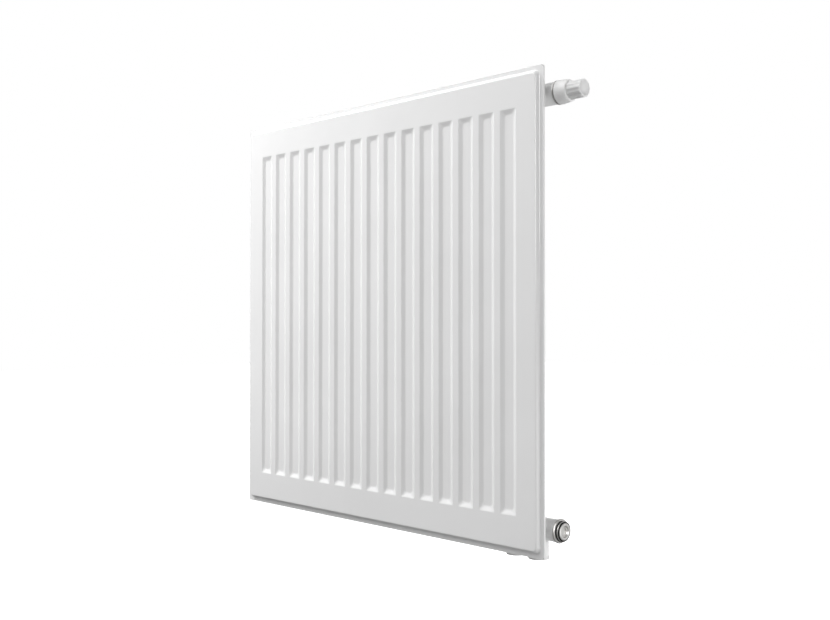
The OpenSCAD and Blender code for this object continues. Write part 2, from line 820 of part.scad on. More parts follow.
blank_plug();
far_plug_seal(low_z);  // blank_plug_seal
vent_plug();
far_plug_seal(high_z);  // vent_plug_seal
bleed_screw();
vent_outlet();
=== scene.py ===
import math

import bmesh
import bpy
from mathutils import Matrix, Vector, noise


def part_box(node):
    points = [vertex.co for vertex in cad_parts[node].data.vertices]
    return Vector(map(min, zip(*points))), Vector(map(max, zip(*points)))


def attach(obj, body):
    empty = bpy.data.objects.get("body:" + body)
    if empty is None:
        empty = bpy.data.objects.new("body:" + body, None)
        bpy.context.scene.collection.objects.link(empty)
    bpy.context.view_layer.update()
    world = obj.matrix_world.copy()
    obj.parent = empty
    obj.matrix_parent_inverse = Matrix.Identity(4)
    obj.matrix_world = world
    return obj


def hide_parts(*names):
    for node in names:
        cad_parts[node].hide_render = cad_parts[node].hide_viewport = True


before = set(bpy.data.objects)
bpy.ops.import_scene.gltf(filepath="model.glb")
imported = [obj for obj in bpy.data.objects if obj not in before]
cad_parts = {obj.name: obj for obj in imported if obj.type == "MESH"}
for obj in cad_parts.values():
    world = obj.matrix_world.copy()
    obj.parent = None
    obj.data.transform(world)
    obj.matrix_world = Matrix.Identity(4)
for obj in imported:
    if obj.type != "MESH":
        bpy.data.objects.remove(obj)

# Single-panel steel radiator with a built-in valve insert, finished in the order it is put together.
# Frame: +X to the valve side, +Y into the wall, +Z up. Sizes are in millimetres, which MM turns to metres.
MM = 0.001
X_AXIS = Vector((1, 0, 0))
UP = Vector((0, 0, 1))
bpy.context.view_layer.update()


# ---- Front sheet ----
# A 1.2 mm sheet of deep-drawing steel, pressed in one stroke: a step lifts its face off the flat welded
# edge, and fifteen shallow grooves sink into that face. It is primed by dipping, then powder coated white.
def linear(hex_colour):
    """The linear RGBA colour of an sRGB hex value."""
    channels = [int(hex_colour[i:i + 2], 16) / 255 for i in (1, 3, 5)]
    return [c / 12.92 if c <= 0.04045 else ((c + 0.055) / 1.055) ** 2.4 for c in channels] + [1]


def add_node(material, kind, values=None, links=None, **settings):
    """Adds a node: settings are its properties, values go on its inputs, links join other nodes' outputs."""
    made = material.node_tree.nodes.new(kind)
    for name, value in settings.items():
        setattr(made, name, value)
    for name, value in (values or {}).items():
        made.inputs[name].default_value = value
    for name, (source, output) in (links or {}).items():
        material.node_tree.links.new(source.outputs[output], made.inputs[name])
    return made


def new_finish(name):
    """An empty material, with its output and its object coordinates."""
    material = bpy.data.materials.new(name)
    material.use_nodes = True
    material.node_tree.nodes.clear()
    place = add_node(material, "ShaderNodeTexCoord")
    return material, place


# Grey laid on the sharp edges: primer showing through, and painted shade along the outline
PRIMER_AND_EDGE_SHADE_GREY = linear("#9A9A98")


def powder_coat(name, colour, shade, gloss_low, gloss_high, peel):
    """Baked epoxy-polyester powder: an even colour with the faint ripple of orange peel and a satin gloss."""
    material, place = new_finish(name)
    # Orange peel is about 2 mm from crest to crest, so 500 waves to the metre
    ripple = add_node(material, "ShaderNodeTexNoise", {"Scale": 500, "Detail": 2, "Roughness": 0.45},
                      {"Vector": (place, "Object")})
    # Film thickness drifts over a hand's width, which moves the tone and the gloss a little
    drift = add_node(material, "ShaderNodeTexNoise", {"Scale": 9, "Detail": 3, "Roughness": 0.5},
                     {"Vector": (place, "Object")})
    tone = add_node(material, "ShaderNodeMapRange", {"From Min": 0.3, "From Max": 0.7},
                    {"Value": (drift, "Fac")})
    # The coat draws back from sharp edges, where the grey primer shows through a little; the grey line there
    # is also painted shade along the sheet's edges
    surface = add_node(material, "ShaderNodeNewGeometry")
    edge = add_node(material, "ShaderNodeMapRange", {"From Min": 0.56, "From Max": 0.68, "To Max": 0.5},
                    {"Value": (surface, "Pointiness")})
    body = add_node(material, "ShaderNodeMix", {"A": linear(colour), "B": linear(shade)},
                    {"Factor": (tone, "Result")}, data_type="RGBA")
    worn_and_edge_shaded = add_node(material, "ShaderNodeMix", {"B": PRIMER_AND_EDGE_SHADE_GREY},
                    {"Factor": (edge, "Result"), "A": (body, "Result")}, data_type="RGBA")
    gloss = add_node(material, "ShaderNodeMapRange", {"From Min": 0.3, "From Max": 0.7, "To Min": gloss_low,
                                                      "To Max": gloss_high}, {"Value": (drift, "Fac")})
    bump = add_node(material, "ShaderNodeBump", {"Strength": peel, "Distance": 0.02 * MM},
                    {"Height": (ripple, "Fac")})
    shader = add_node(material, "ShaderNodeBsdfPrincipled", {"IOR": 1.5}, {
        "Base Color": (worn_and_edge_shaded, "Result"), "Roughness": (gloss, "Result"), "Normal": (bump, "Normal")})
    add_node(material, "ShaderNodeOutputMaterial", links={"Surface": (shader, "BSDF")})
    return material


def make_piece(name, bm, body, slot, material, *nodes, sharp=32):
    """Turns a bmesh in millimetres into a finished piece that rides on a body and stands for CAD nodes."""
    bmesh.ops.scale(bm, vec=(MM, MM, MM), verts=bm.verts)
    for face in bm.faces:
        face.smooth = True
    for edge in bm.edges:
        edge.smooth = edge.calc_face_angle(0) < math.radians(sharp)
    mesh = bpy.data.meshes.new(name)
    bm.to_mesh(mesh)
    bm.free()
    mesh.materials.append(material)
    piece = bpy.data.objects.new(name, mesh)
    bpy.context.scene.collection.objects.link(piece)
    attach(piece, body)
    if nodes:
        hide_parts(*nodes)
    return piece


def box_mm(node):
    low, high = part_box(node)
    return low / MM, high / MM


def press(t, soft):
    """A ramp from 0 to 1 with both of its corners rounded over `soft`."""
    if t < soft:
        return max(t + soft, 0) ** 2 / (4 * soft)
    if t > 1 - soft:
        return 1 - max(1 + soft - t, 0) ** 2 / (4 * soft)
    return t


def blunt_min(a, b, width):
    """The smaller of two distances, with the mitre between them rounded over `width`."""
    overlap = max(width - abs(a - b), 0) / width
    return min(a, b) - overlap * overlap * width / 4


def inset_from_outline(x, z, corner):
    """How far a point lies inside the panel's outline, whose corners are taken as rounded."""
    past_x = abs(x - PANEL_MID.x) - (PANEL_W / 2 - corner)
    past_z = abs(z - PANEL_MID.z) - (PANEL_H / 2 - corner)
    outside = math.hypot(max(past_x, 0), max(past_z, 0))
    return corner - outside - min(max(past_x, past_z), 0)


def blank_sheet(x_lines, z_lines):
    """A flat blank with rounded corners, ruled along the lines where the die bends it."""
    bm = bmesh.new()
    bmesh.ops.create_grid(bm, x_segments=1, y_segments=1, size=0.5)
    bmesh.ops.scale(bm, vec=(PANEL_W, PANEL_H, 1), verts=bm.verts)
    bmesh.ops.bevel(bm, geom=bm.verts[:], affect="VERTICES", offset=FLANGE_CORNER, offset_type="OFFSET",
                    segments=6, profile=0.5, material=-1)
    bmesh.ops.rotate(bm, matrix=Matrix.Rotation(math.pi / 2, 3, "X"), verts=bm.verts)
    bmesh.ops.translate(bm, vec=(PANEL_MID.x, 0, PANEL_MID.z), verts=bm.verts)
    for axis, lines in ((X_AXIS, x_lines), (UP, z_lines)):
        for line in sorted(lines):
            bmesh.ops.bisect_plane(bm, geom=bm.verts[:] + bm.edges[:] + bm.faces[:], dist=1e-5,
                                   plane_co=axis * line, plane_no=axis)
    return bm


def mirrored(middle, half, steps):
    """Lines at `steps` inside both ends of a span."""
    return [middle + side * (half - step) for side in (-1, 1) for step in steps]


FLANGE_FLAT = 6
FLANGE_CORNER = 3.5
STEP_RUN = 3
STEP_SOFT = 0.32
FACE_CORNER = 14
GROOVE_COUNT = 15
GROOVE_PITCH = 35.4
GROOVE_W = 25.3
GROOVE_L = 503.2
GROOVE_DEPTH = 2.5
GROOVE_SIDE_RUN = 5.4
GROOVE_END_RUN = 6
GROOVE_SOFT = 0.11
SHEET_T = 1.2

front_low, front_high = box_mm("front_sheet")
PANEL_W = front_high.x - front_low.x
PANEL_H = front_high.z - front_low.z
PANEL_MID = (front_low + front_high) / 2
FACE_Y = front_low.y
SEAM_Y = front_high.y
flange_y = SEAM_Y - SHEET_T
groove_places = [PANEL_MID.x + (i - (GROOVE_COUNT - 1) / 2) * GROOVE_PITCH for i in range(GROOVE_COUNT)]

# A quiet line outside each bend keeps the flats flat when they are shaded smooth
step_shares = (-0.5, -STEP_SOFT, -0.16, 0, 0.16, STEP_SOFT, 0.5, 1 - STEP_SOFT, 0.84,
               1, 1.16, 1 + STEP_SOFT, 1.5, 1.8, 2.2, 2.7)
edge_lines = [0.6, 1.6, 3, 4] + [FLANGE_FLAT + STEP_RUN * t for t in step_shares]
groove_steps = (-0.16, -GROOVE_SOFT, 0, GROOVE_SOFT, 0.35, 0.65,
                1 - GROOVE_SOFT, 1, 1 + GROOVE_SOFT, 1.3, 1.7)


def groove_depth_at(x, z):
    """How deep the front sheet's grooves are at a point, as a share of their full depth."""
    near = min(abs(x - place) for place in groove_places)
    side = (GROOVE_W / 2 - near) / GROOVE_SIDE_RUN
    end = (GROOVE_L / 2 - abs(z - PANEL_MID.z)) / GROOVE_END_RUN
    if side < -1 or end < -1:
        return 0
    # The corners are crisp at the face and round off towards the floor
    width = 0.12 + 0.9 * min(max(min(side, end), 0), 1)
    return press(blunt_min(side, end, width), GROOVE_SOFT)


front = blank_sheet(
    mirrored(PANEL_MID.x, PANEL_W / 2, edge_lines)
    + [x for place in groove_places
       for x in mirrored(place, GROOVE_W / 2, [s * GROOVE_SIDE_RUN for s in groove_steps])],
    mirrored(PANEL_MID.z, PANEL_H / 2, edge_lines)
    + mirrored(PANEL_MID.z, GROOVE_L / 2, [s * GROOVE_END_RUN for s in groove_steps]))
for vertex in front.verts:
    x, _, z = vertex.co
    lift = press((inset_from_outline(x, z, FACE_CORNER) - FLANGE_FLAT) / STEP_RUN, STEP_SOFT)
    vertex.co.y = flange_y + (FACE_Y - flange_y) * lift + GROOVE_DEPTH * groove_depth_at(x, z)

# White powder coat: bright and neutral, satin, with a ripple that only shows in its highlights
front_enamel = powder_coat("white_powder_coat", "#F3F3F3", "#EFEFEF", 0.2, 0.26, 0.2)


def thicken(piece, thickness, ease, angle):
    """Gives a pressing its thickness, and eases the sheared edges that are sharper than an angle."""
    wall = piece.modifiers.new("Sheet", "SOLIDIFY")
    wall.thickness = thickness * MM
    wall.offset = -1
    wall.use_even_offset = True
    rim = piece.modifiers.new("Rim", "BEVEL")
    rim.width = ease * MM
    rim.segments = 2
    rim.limit_method = "ANGLE"
    rim.angle_limit = math.radians(angle)


def finish_sheet(name, bm, toward, slot, material, node):
    """Gives a pressed sheet its thickness, away from `toward`, and eases its sheared rim."""
    bmesh.ops.recalc_face_normals(bm, faces=bm.faces)
    if sum(face.normal.y * face.calc_area() for face in bm.faces) * toward < 0:
        bmesh.ops.reverse_faces(bm, faces=bm.faces)
    thicken(make_piece(name, bm, "panel", slot, material, node, sharp=80), SHEET_T, ease=0.25, angle=70)


finish_sheet("pressed_front_sheet", front, -1, "front_enamel", front_enamel, "front_sheet")


# ---- Rear sheet ----
# The same steel, pressed the other way: its deep valleys reach forward to the backs of the grooves and are
# spot-welded there, which leaves the water channels between them. A roller seam-welds the two flat edges.
VALLEY_L = 483.2
VALLEY_FLOOR_W = 8
VALLEY_RUN = 4
VALLEY_SOFT = 0.14
SEAM_INSET = 3
SEAM_HALF_W = 1.6
SEAM_DEPTH = 0.12
WELD_SPACING = 58
WELD_END_GAP = 15

rear_high = box_mm("rear_sheet")[1]
REAR_Y = rear_high.y
rear_flange_y = SEAM_Y + SHEET_T
valley_y = FACE_Y + GROOVE_DEPTH + 2 * SHEET_T
valley_half_w = VALLEY_FLOOR_W / 2 + VALLEY_RUN
valley_half_l = VALLEY_L / 2 + VALLEY_RUN
valley_steps = (-0.22, -VALLEY_SOFT, 0, VALLEY_SOFT, 0.4, 0.7, 1 - VALLEY_SOFT, 1, 1 + VALLEY_SOFT, 1.5)


def valley_depth_at(x, z):
    near = min(abs(x - place) for place in groove_places)
    side = (valley_half_w - near) / VALLEY_RUN
    end = (valley_half_l - abs(z - PANEL_MID.z)) / VALLEY_RUN
    if side < -1 or end < -1:
        return 0
    return press(blunt_min(side, end, 0.3), VALLEY_SOFT)


rear = blank_sheet(
    mirrored(PANEL_MID.x, PANEL_W / 2, edge_lines)
    + [x for place in groove_places
       for x in mirrored(place, valley_half_w, [s * VALLEY_RUN for s in valley_steps])],
    mirrored(PANEL_MID.z, PANEL_H / 2, edge_lines)
    + mirrored(PANEL_MID.z, valley_half_l, [s * VALLEY_RUN for s in valley_steps]))
for vertex in rear.verts:
    x, _, z = vertex.co
    inset = inset_from_outline(x, z, FACE_CORNER)
    lift = press((inset - FLANGE_FLAT) / STEP_RUN, STEP_SOFT)
    track = max(1 - abs(inset - SEAM_INSET) / SEAM_HALF_W, 0) * SEAM_DEPTH
    vertex.co.y = (rear_flange_y - track + (REAR_Y - rear_flange_y) * lift
                   - (REAR_Y - valley_y) * valley_depth_at(x, z))

# The coat is thinner and drier at the back, where the spray guns reach last
back_enamel = powder_coat("white_powder_coat_back", "#ECECEB", "#E2E2E1", 0.42, 0.55, 0.8)
finish_sheet("pressed_rear_sheet", rear, 1, "back_enamel", back_enamel, "rear_sheet")


def spin_about_x(bm, steps):
    """Spins a profile a whole turn about X."""
    bmesh.ops.spin(bm, geom=bm.verts[:] + bm.edges[:], cent=(0, 0, 0), axis=(1, 0, 0), dvec=(0, 0, 0),
                   angle=2 * math.pi, steps=steps, use_merge=True, use_duplicate=False)
    bmesh.ops.remove_doubles(bm, verts=bm.verts, dist=1e-4)


def round_rings(bm, rows):
    """Rounds the ring that each row left, where the row asks for it."""
    for x, radius, rounding in rows:
        if rounding:
            ring = [e for e in bm.edges if all(abs(v.co.x - x) < 1e-3 and abs(v.co.yz.length - radius) < 1e-3
                                               for v in e.verts)]
            bmesh.ops.bevel(bm, geom=ring, affect="EDGES", offset=rounding, offset_type="OFFSET", segments=3,
                            profile=0.5, material=-1, clamp_overlap=True)


def turned(rows, place=Matrix.Identity(4), steps=72, into=None):
    """A turned shape about X: rows hold the place along X, the radius and the rounding of each edge."""
    bm = bmesh.new()
    corners = [bm.verts.new((x, 0, radius)) for x, radius, _ in rows]
    for here, there in zip(corners, corners[1:] + corners[:1]):
        if here.co.z > 0 or there.co.z > 0:
            bm.edges.new((here, there))
    spin_about_x(bm, steps)
    bmesh.ops.dissolve_degenerate(bm, edges=bm.edges, dist=1e-5)
    bmesh.ops.recalc_face_normals(bm, faces=bm.faces)
    round_rings(bm, rows)
    bmesh.ops.transform(bm, matrix=place, verts=bm.verts)
    if into is None:
        return bm
    add_to(into, bm)
    return into


def add_to(whole, bm):
    """Adds one bmesh to another."""
    mesh = bpy.data.meshes.new("carried")
    bm.to_mesh(mesh)
    bm.free()
    whole.from_mesh(mesh)
    bpy.data.meshes.remove(mesh)


def facing(direction, at):
    """A placement that turns a shape's X axis to a direction, and moves it to a point."""
    turn = X_AXIS.rotation_difference(Vector(direction))
    return Matrix.Translation(Vector(at)) @ turn.to_matrix().to_4x4()


# A spot weld leaves a round dish with a low rim, about 5 mm across
SPOT_ROWS = [(-0.1, 0, 0), (-0.1, 2.7, 0), (0.22, 2.3, 0), (0.2, 1.9, 0), (0.05, 1.2, 0), (0.03, 0, 0)]
spots = bmesh.new()
spot_count = int((VALLEY_L - 2 * WELD_END_GAP) / WELD_SPACING) + 1
for place in groove_places:
    for i in range(spot_count):
        spot_z = PANEL_MID.z + (i - (spot_count - 1) / 2) * WELD_SPACING
        turned(SPOT_ROWS, facing((0, 1, 0), (place, valley_y, spot_z)), steps=12, into=spots)
make_piece("valley_spot_welds", spots, "panel", "back_enamel", back_enamel, sharp=60)


# ---- Spacer rings ----
# Turned steel rings, set between the sheets at the four corners before welding. They stay bare inside the
# water space, where they darken to a thin even oxide.
def set_finish(material, *nodes):
    for node in nodes:
        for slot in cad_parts[node].material_slots:
            slot.material = material


# Mild steel, cut and left bare: a dull grey with darker blooms
bare_steel, steel_place = new_finish("oxidised_mild_steel")
steel_bloom = add_node(bare_steel, "ShaderNodeTexNoise", {"Scale": 160, "Detail": 5, "Roughness": 0.6},
                       {"Vector": (steel_place, "Object")})
steel_colour = add_node(bare_steel, "ShaderNodeMix", {"A": linear("#8C8782"), "B": linear("#5C534B")},
                        {"Factor": (steel_bloom, "Fac")}, data_type="RGBA")
steel_gloss = add_node(bare_steel, "ShaderNodeMapRange", {"To Min": 0.35, "To Max": 0.65},
                       {"Value": (steel_bloom, "Fac")})
steel_bump = add_node(bare_steel, "ShaderNodeBump", {"Strength": 0.3, "Distance": 0.05 * MM},
                      {"Height": (steel_bloom, "Fac")})
steel_shader = add_node(bare_steel, "ShaderNodeBsdfPrincipled", {"Metallic": 1}, {
    "Base Color": (steel_colour, "Result"), "Roughness": (steel_gloss, "Result"),
    "Normal": (steel_bump, "Normal")})
add_node(bare_steel, "ShaderNodeOutputMaterial", links={"Surface": (steel_shader, "BSDF")})
set_finish(bare_steel, "spacer_valve_corner", "spacer_return_corner", "spacer_vent_corner",
           "spacer_blank_corner")


# ---- Bosses ----
# Four short tubes of thick-walled steel, threaded at the mouth. Each stands on a neck whose end is cut to
# the round of the tube, with a weld bead along both of its joints. Dipped and coated with the panel.
BOSS_R = 14
THREAD_R = 9.32
THREAD_L = 15
NECK_R = 10
NECK_BORE_R = 6.5
WATERWAY_R = 7
BEAD_R = 1.7
RIPPLE_PITCH = 2
RIPPLE_DEPTH = 0.22


def lie_on_round(vertices, direction, centre, radius, lift=0):
    """Moves points along a direction until they lie on the round of a tube that runs along X."""
    direction = Vector(direction)
    across = direction.cross(X_AXIS)
    for vertex in vertices:
        offset = min(abs((vertex.co - centre).dot(across)), radius * 0.999)
        surface = centre.dot(direction) - math.sqrt(radius * radius - offset * offset) + lift
        vertex.co += direction * (surface - vertex.co.dot(direction))


def weld_bead(into, centre, direction, ring_r, round_r=None, bead_r=BEAD_R, at=None, steps=64):
    """A weld bead about a branch: a ring that follows a tube's round, or lies flat at a distance."""
    direction = Vector(direction)
    start = centre - direction * (round_r or at)
    bm = bmesh.new()
    bmesh.ops.create_circle(bm, segments=10, radius=bead_r, cap_ends=False)
    bmesh.ops.rotate(bm, matrix=Matrix.Rotation(math.pi / 2, 3, "X"), verts=bm.verts)
    bmesh.ops.translate(bm, vec=(0, 0, ring_r), verts=bm.verts)
    spin_about_x(bm, steps)
    bmesh.ops.recalc_face_normals(bm, faces=bm.faces)
    bmesh.ops.transform(bm, matrix=facing(direction, start), verts=bm.verts)
    # Overlapping puddles leave ripples about 2 mm apart along the bead
    for vertex in bm.verts:
        vertex.co += Vector(noise.noise_vector(vertex.co / RIPPLE_PITCH)) * RIPPLE_DEPTH
    if round_r:
        across = direction.cross(X_AXIS)
        for vertex in bm.verts:
            offset = min(abs((vertex.co - centre).dot(across)), round_r * 0.98)
            vertex.co += direction * (round_r - math.sqrt(round_r * round_r - offset * offset))
    add_to(into, bm)


def branch_tube(into, centre, direction, start, outer_r, bore_r, round_r, steps=64):
    """A tube that starts at a distance from a boss's axis and ends on the boss's round."""
    direction = Vector(direction)
    rows = [(0, bore_r, 0), (0, outer_r, 0), (start - round_r, outer_r, 0), (start - round_r, bore_r, 0)]
    bm = turned(rows, facing(direction, centre - direction * start), steps)
    far = [v for v in bm.verts if abs(v.co.dot(direction) - (centre.dot(direction) - round_r)) < 1e-3]
    lie_on_round(far, direction, centre, round_r, lift=0.05)
    add_to(into, bm)


# The tubes and stubs take the same white coat made slightly greyer, as painted shade for where they sit
# behind and below the panel
boss_enamel = powder_coat("grey_white_coat_painted_shade", "#EEEEEE", "#E8E8E8", 0.24, 0.32, 0.2)
BOSSES = {
    "valve_boss": ("tube_with_valve", 1, "spacer_valve_corner"),
    "return_boss": ("tube_with_return_plug", 1, "spacer_return_corner"),
    "vent_boss": ("tube_with_vent", -1, "spacer_vent_corner"),
    "blank_boss": ("tube_with_blank_plug", -1, "spacer_blank_corner"),
}
for node, (name, side, spacer) in BOSSES.items():
    low, high = box_mm(node)
    mouth, blind = (high.x, low.x) if side > 0 else (low.x, high.x)
    height = (low.z + high.z) / 2
    inward = -side
    tube = turned([
        (blind, 0, 0), (blind, BOSS_R, 1.2), (mouth, BOSS_R, 0.5), (mouth, THREAD_R + 0.6, 0),
        (mouth + inward * 0.7, THREAD_R, 0), (mouth + inward * THREAD_L, THREAD_R, 0),
        (mouth + inward * (THREAD_L + 1.5), WATERWAY_R, 0), (blind - inward * 4, WATERWAY_R, 0),
        (blind - inward * 4, 0, 0)], Matrix.Translation((0, 0, height)))
    spacer_low, spacer_high = box_mm(spacer)
    neck_x = (spacer_low.x + spacer_high.x) / 2
    centre = Vector((neck_x, 0, height))
    branch_tube(tube, centre, (0, 1, 0), -REAR_Y, NECK_R, NECK_BORE_R, BOSS_R)
    weld_bead(tube, centre, (0, 1, 0), NECK_R, round_r=BOSS_R)
    weld_bead(tube, centre, (0, 1, 0), NECK_R + 0.8, at=-REAR_Y)
    make_piece(name, tube, "panel", "boss_enamel", boss_enamel, node)


# ---- Bottom connections and riser ----
# Two threaded steel stubs leave the bottom edge. The outer one is saddle-cut and welded under the return
# boss. The inner one holds the foot of a thin riser pipe, brazed in, that runs up to the valve boss.
THREAD_PITCH = 1.814
THREAD_DEPTH = 0.9
STUB_R = 12.3
STUB_LIP_R = 13.4
STUB_LIP_T = 2
RISER_R = 7.5
RISER_BORE_R = 6
RISER_SOCKET_L = 10
ROWS_PER_TURN = 6
STUB_STEPS = 96


def bore_rows(length, radius, start):
    """Rows up a bore, close enough together to carry a thread."""
    count = int(length / THREAD_PITCH * ROWS_PER_TURN)
    return [(start + length * i / count, radius, 0) for i in range(count + 1)]


def cut_thread(bm, axis_x, length, radius):
    """Moves a vertical bore's wall out along a helix: a right-hand thread of rounded V form."""
    for vertex in bm.verts:
        away = Vector((vertex.co.x - axis_x, vertex.co.y, 0))
        if abs(away.length - radius) > 1e-3 or not 0.2 < vertex.co.z < length - 0.2:
            continue
        turn = vertex.co.z / THREAD_PITCH + math.atan2(away.y, away.x) / (2 * math.pi)
        wave = 0.5 - 0.5 * math.cos(2 * math.pi * turn)
        fade = min((length - vertex.co.z) / THREAD_PITCH, 1)
        vertex.co += away.normalized() * THREAD_DEPTH * wave * fade


return_low, return_high = box_mm("return_connector")
supply_low, supply_high = box_mm("supply_connector")
low_z = sum(c.z for c in box_mm("return_boss")) / 2
high_z = sum(c.z for c in box_mm("valve_boss")) / 2
return_x = (return_low.x + return_high.x) / 2
supply_x = (supply_low.x + supply_high.x) / 2

mouth_rows = [(0, STUB_LIP_R, 0.5), (0, THREAD_R + 1, 0.2)] + bore_rows(THREAD_L, THREAD_R, start=0.8)
lip_rows = [(STUB_LIP_T + 1, STUB_R, 0.6), (STUB_LIP_T, STUB_LIP_R, 0.4)]
stub = turned(mouth_rows + [
    (THREAD_L + 2, WATERWAY_R, 0), (low_z - BOSS_R, WATERWAY_R, 0), (low_z - BOSS_R, STUB_R, 0)]
    + lip_rows, facing(UP, (return_x, 0, 0)), STUB_STEPS)
cut_thread(stub, return_x, THREAD_L, THREAD_R)
top_ring = [v for v in stub.verts if abs(v.co.z - (low_z - BOSS_R)) < 1e-3]
boss_centre = Vector((return_x, 0, low_z))
lie_on_round(top_ring, UP, boss_centre, BOSS_R, lift=0.05)
weld_bead(stub, boss_centre, UP, STUB_R, round_r=BOSS_R, bead_r=1.5)
make_piece("return_stub", stub, "panel", "boss_enamel", boss_enamel, "return_connector")

socket_top = supply_high.z
stub = turned(mouth_rows + [
    (THREAD_L + 1, RISER_BORE_R, 0), (socket_top - RISER_SOCKET_L, RISER_BORE_R, 0),
    (socket_top - RISER_SOCKET_L, RISER_R + 0.03, 0),
    (socket_top, RISER_R + 0.03, 0), (socket_top, RISER_R + 1, 0.4), (socket_top - 4, STUB_R, 1.5)]
    + lip_rows, facing(UP, (supply_x, 0, 0)), STUB_STEPS)
cut_thread(stub, supply_x, THREAD_L, THREAD_R)
weld_bead(stub, Vector((supply_x, 0, socket_top)), UP, RISER_R + 0.3, at=0.01, bead_r=0.9)
make_piece("supply_stub", stub, "panel", "boss_enamel", boss_enamel, "supply_connector")

riser = bmesh.new()
valve_centre = Vector((supply_x, 0, high_z))
riser_foot = box_mm("riser_pipe")[0].z
branch_tube(riser, valve_centre, UP, high_z - riser_foot, RISER_R, RISER_BORE_R, BOSS_R, 48)
weld_bead(riser, valve_centre, UP, RISER_R, round_r=BOSS_R, bead_r=1.3)
make_piece("riser", riser, "panel", "back_enamel", back_enamel, "riser_pipe")


# ---- Hanging lugs ----
# Strips of 2.5 mm steel, punched and bent into a hat, that drop over the hooks of the wall bracket. Both
# feet are spot-welded to the rear sheet, twice each, before the panel is coated.
LUG_T = 2.5
LUG_GAP = 40
LUG_FOOT = 12
LUG_BEND_R = 3
LUG_SPOT_OUT = 8
SLOT_W = 12
SLOT_H = 28
LUGS = {"lug_top_right": "hanger_top_right", "lug_top_left": "hanger_top_left",
        "lug_bottom_right": "hanger_bottom_right", "lug_bottom_left": "hanger_bottom_left"}
for node, name in LUGS.items():
    low, high = box_mm(node)
    middle = (low + high) / 2
    shoulder = LUG_GAP / 2 + LUG_T
    # The strip's outer face, from one foot over the hat to the other
    outline = [(low.y + LUG_T, low.z), (low.y + LUG_T, middle.z - shoulder), (high.y, middle.z - shoulder),
               (high.y, middle.z + shoulder), (low.y + LUG_T, middle.z + shoulder), (low.y + LUG_T, high.z)]
    lug = bmesh.new()
    path = [lug.verts.new((low.x, y, z)) for y, z in outline]
    for here, there in zip(path, path[1:]):
        lug.edges.new((here, there))
    drawn = bmesh.ops.extrude_edge_only(lug, edges=lug.edges)["geom"]
    drawn_verts = [g for g in drawn if isinstance(g, bmesh.types.BMVert)]
    bmesh.ops.translate(lug, vec=(high.x - low.x, 0, 0), verts=drawn_verts)
    folds = [e for e in lug.edges if len(e.link_faces) == 2]
    bmesh.ops.bevel(lug, geom=folds, affect="EDGES", offset=LUG_BEND_R, offset_type="OFFSET", segments=5,
                    profile=0.5, material=-1)
    for axis, at, half in ((X_AXIS, middle.x, SLOT_W / 2), (UP, middle.z, SLOT_H / 2)):
        for side in (-1, 1):
            bmesh.ops.bisect_plane(lug, geom=lug.verts[:] + lug.edges[:] + lug.faces[:], dist=1e-4,
                                   plane_co=axis * (at + side * half), plane_no=axis)
    slot = [f for f in lug.faces if abs(f.calc_center_median().x - middle.x) < SLOT_W / 2
            and abs(f.calc_center_median().z - middle.z) < SLOT_H / 2
            and f.calc_center_median().y > high.y - 0.1]
    bmesh.ops.delete(lug, geom=slot, context="FACES")
    bmesh.ops.recalc_face_normals(lug, faces=lug.faces)
    web = max(lug.faces, key=lambda f: f.calc_center_median().y)
    if web.normal.y < 0:
        bmesh.ops.reverse_faces(lug, faces=lug.faces)
    piece = make_piece(name, lug, "panel", "back_enamel", back_enamel, node, sharp=60)
    thicken(piece, LUG_T, ease=0.35, angle=60)
    marks = bmesh.new()
    for side in (-1, 1):
        for across in (-1, 1):
            spot = (middle.x + across * LUG_SPOT_OUT, low.y + LUG_T,
                    middle.z + side * (shoulder + LUG_FOOT / 2))
            turned(SPOT_ROWS, facing((0, 1, 0), spot), steps=20, into=marks)
    make_piece(name + "_spot_welds", marks, "panel", "back_enamel", back_enamel, sharp=60)


# ---- Valve insert ----
# Turned brass, nickel plated where it shows: its ring seats on the boss's mouth. The gland, disc and thrust
# pad are plain brass, the spindle and its spring stainless, and the seals EPDM rubber.
def turned_metal(name, colour, shade, gloss_low, gloss_high, mark_depth):
    """A lathe-turned metal: bright, with tool marks that run round it."""
    material, place = new_finish(name)
    # Tool marks are about 0.15 mm apart; they are drawn about 1 mm apart so that they show
    marks = add_node(material, "ShaderNodeTexWave", {"Scale": 320, "Distortion": 1.5, "Detail": 2},
                     {"Vector": (place, "Object")}, wave_type="BANDS", bands_direction="X")
    stain = add_node(material, "ShaderNodeTexNoise", {"Scale": 120, "Detail": 4, "Roughness": 0.55},
                     {"Vector": (place, "Object")})
    tint = add_node(material, "ShaderNodeMix", {"A": linear(colour), "B": linear(shade)},
                    {"Factor": (stain, "Fac")}, data_type="RGBA")
    gloss = add_node(material, "ShaderNodeMapRange", {"From Min": 0.25, "From Max": 0.75, "To Min": gloss_low,
                                                      "To Max": gloss_high}, {"Value": (stain, "Fac")})
    bump = add_node(material, "ShaderNodeBump", {"Strength": mark_depth, "Distance": 0.01 * MM},
                    {"Height": (marks, "Fac")})
    shader = add_node(material, "ShaderNodeBsdfPrincipled", {"Metallic": 1}, {
        "Base Color": (tint, "Result"), "Roughness": (gloss, "Result"), "Normal": (bump, "Normal")})
    add_node(material, "ShaderNodeOutputMaterial", links={"Surface": (shader, "BSDF")})
    return material


# The nickel is satin and a nearly neutral grey; the brass and the stainless steel are glossier
nickel = turned_metal("satin_nickel_plate", "#C4C3C1", "#B7B6B4", 0.38, 0.48, 0.15)
brass = turned_metal("turned_brass", "#D2AE6A", "#B58B4C", 0.25, 0.4, 0.4)
stainless = turned_metal("drawn_stainless_steel", "#C2C0BC", "#A9A7A3", 0.2, 0.32, 0.15)

